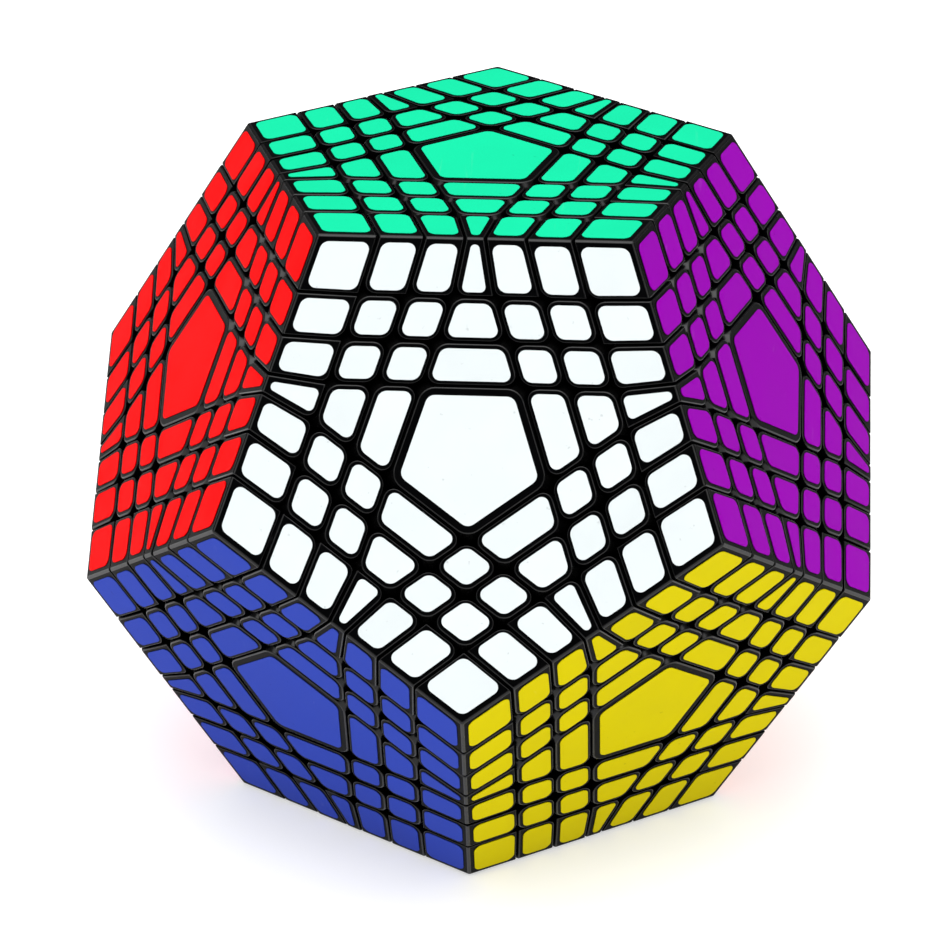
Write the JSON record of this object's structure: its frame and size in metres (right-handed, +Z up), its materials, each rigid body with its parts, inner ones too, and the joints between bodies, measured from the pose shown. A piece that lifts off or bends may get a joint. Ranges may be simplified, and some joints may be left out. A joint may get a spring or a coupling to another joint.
{
  "type": "dodecahedron twisty puzzle",
  "caption": "Dodecahedron twisty puzzle with seven layers between opposite faces, flat coloured stickers on black pieces, and turning face layers on a screwed and sprung core.",
  "frame": {"origin": "centre of the bottom (lime) face, on the surface that the puzzle rests on", "axes": "+Z up through the green face; -Y towards the white face, which is at the front; +X to the right"},
  "size_m": [0.1492, 0.157, 0.1269],
  "materials": {
    "black_plastic": "satin",
    "core_plastic": "matte",
    "screw_steel": "satin",
    "spring_steel": "gloss",
    "green_sticker": "satin",
    "white_sticker": "satin",
    "purple_sticker": "satin",
    "light_blue_sticker": "satin",
    "cream_sticker": "satin",
    "red_sticker": "satin",
    "yellow_sticker": "satin",
    "orange_sticker": "satin",
    "grey_sticker": "satin",
    "pink_sticker": "satin",
    "blue_sticker": "satin",
    "lime_sticker": "satin"
  },
  "bodies": {
    "core_and_fixed_faces": {"core": "core_plastic", "fixed_corners_and_edges": "black_plastic", "green_screw": "screw_steel", "white_screw": "screw_steel", "white_centre": "white_sticker", "white_spring": "spring_steel", "white_face_pieces": "white_sticker", "purple_screw": "screw_steel", "purple_centre": "purple_sticker", "purple_spring": "spring_steel", "purple_face_pieces": "purple_sticker", "light_blue_screw": "screw_steel", "light_blue_centre": "light_blue_sticker", "light_blue_spring": "spring_steel", "light_blue_face_pieces": "light_blue_sticker", "cream_screw": "screw_steel", "cream_centre": "cream_sticker", "cream_spring": "spring_steel", "cream_face_pieces": "cream_sticker", "red_screw": "screw_steel", "red_centre": "red_sticker", "red_spring": "spring_steel", "red_face_pieces": "red_sticker", "yellow_screw": "screw_steel", "orange_screw": "screw_steel", "orange_centre": "orange_sticker", "orange_spring": "spring_steel", "orange_face_pieces": "orange_sticker", "grey_screw": "screw_steel", "grey_centre": "grey_sticker", "grey_spring": "spring_steel", "grey_face_pieces": "grey_sticker", "pink_screw": "screw_steel", "blue_screw": "screw_steel", "blue_centre": "blue_sticker", "blue_spring": "spring_steel", "blue_face_pieces": "blue_sticker", "lime_screw": "screw_steel", "lime_centre": "lime_sticker", "lime_spring": "spring_steel", "lime_face_pieces": "lime_sticker"},
    "green_first_layer": {"green_corners_and_edges": "black_plastic", "green_face_pieces": "green_sticker", "green_centre": "green_sticker", "green_spring": "spring_steel"},
    "green_second_layer": {"green_second_layer": "black_plastic"},
    "green_third_layer": {"green_third_layer": "black_plastic"},
    "yellow_first_layer": {"yellow_corners_and_edges": "black_plastic", "yellow_face_pieces": "yellow_sticker", "yellow_centre": "yellow_sticker", "yellow_spring": "spring_steel"},
    "yellow_second_layer": {"yellow_second_layer": "black_plastic"},
    "yellow_third_layer": {"yellow_third_layer": "black_plastic"},
    "pink_first_layer": {"pink_corners_and_edges": "black_plastic", "pink_face_pieces": "pink_sticker", "pink_centre": "pink_sticker", "pink_spring": "spring_steel"},
    "pink_second_layer": {"pink_second_layer": "black_plastic"},
    "pink_third_layer": {"pink_third_layer": "black_plastic"}
  },
  "joints": [
    {"name": "green_first_layer_turn", "type": "hinge", "parent": "core_and_fixed_faces", "child": "green_first_layer", "pos_m": [0, 0, 0.06347], "axis": [0, 0, 1], "continuous": true},
    {"name": "green_second_layer_turn", "type": "hinge", "parent": "core_and_fixed_faces", "child": "green_second_layer", "pos_m": [0, 0, 0.06347], "axis": [0, 0, 1], "continuous": true},
    {"name": "green_third_layer_turn", "type": "hinge", "parent": "core_and_fixed_faces", "child": "green_third_layer", "pos_m": [0, 0, 0.06347], "axis": [0, 0, 1], "continuous": true},
    {"name": "yellow_first_layer_turn", "type": "hinge", "parent": "core_and_fixed_faces", "child": "yellow_first_layer", "pos_m": [0, 0, 0.06347], "axis": [0.5257, -0.7236, -0.4472], "continuous": true},
    {"name": "yellow_second_layer_turn", "type": "hinge", "parent": "core_and_fixed_faces", "child": "yellow_second_layer", "pos_m": [0, 0, 0.06347], "axis": [0.5257, -0.7236, -0.4472], "continuous": true},
    {"name": "yellow_third_layer_turn", "type": "hinge", "parent": "core_and_fixed_faces", "child": "yellow_third_layer", "pos_m": [0, 0, 0.06347], "axis": [0.5257, -0.7236, -0.4472], "continuous": true},
    {"name": "pink_first_layer_turn", "type": "hinge", "parent": "core_and_fixed_faces", "child": "pink_first_layer", "pos_m": [0, 0, 0.06347], "axis": [-0.8507, 0.2764, -0.4472], "continuous": true},
    {"name": "pink_second_layer_turn", "type": "hinge", "parent": "core_and_fixed_faces", "child": "pink_second_layer", "pos_m": [0, 0, 0.06347], "axis": [-0.8507, 0.2764, -0.4472], "continuous": true},
    {"name": "pink_third_layer_turn", "type": "hinge", "parent": "core_and_fixed_faces", "child": "pink_third_layer", "pos_m": [0, 0, 0.06347], "axis": [-0.8507, 0.2764, -0.4472], "continuous": true}
  ]
}
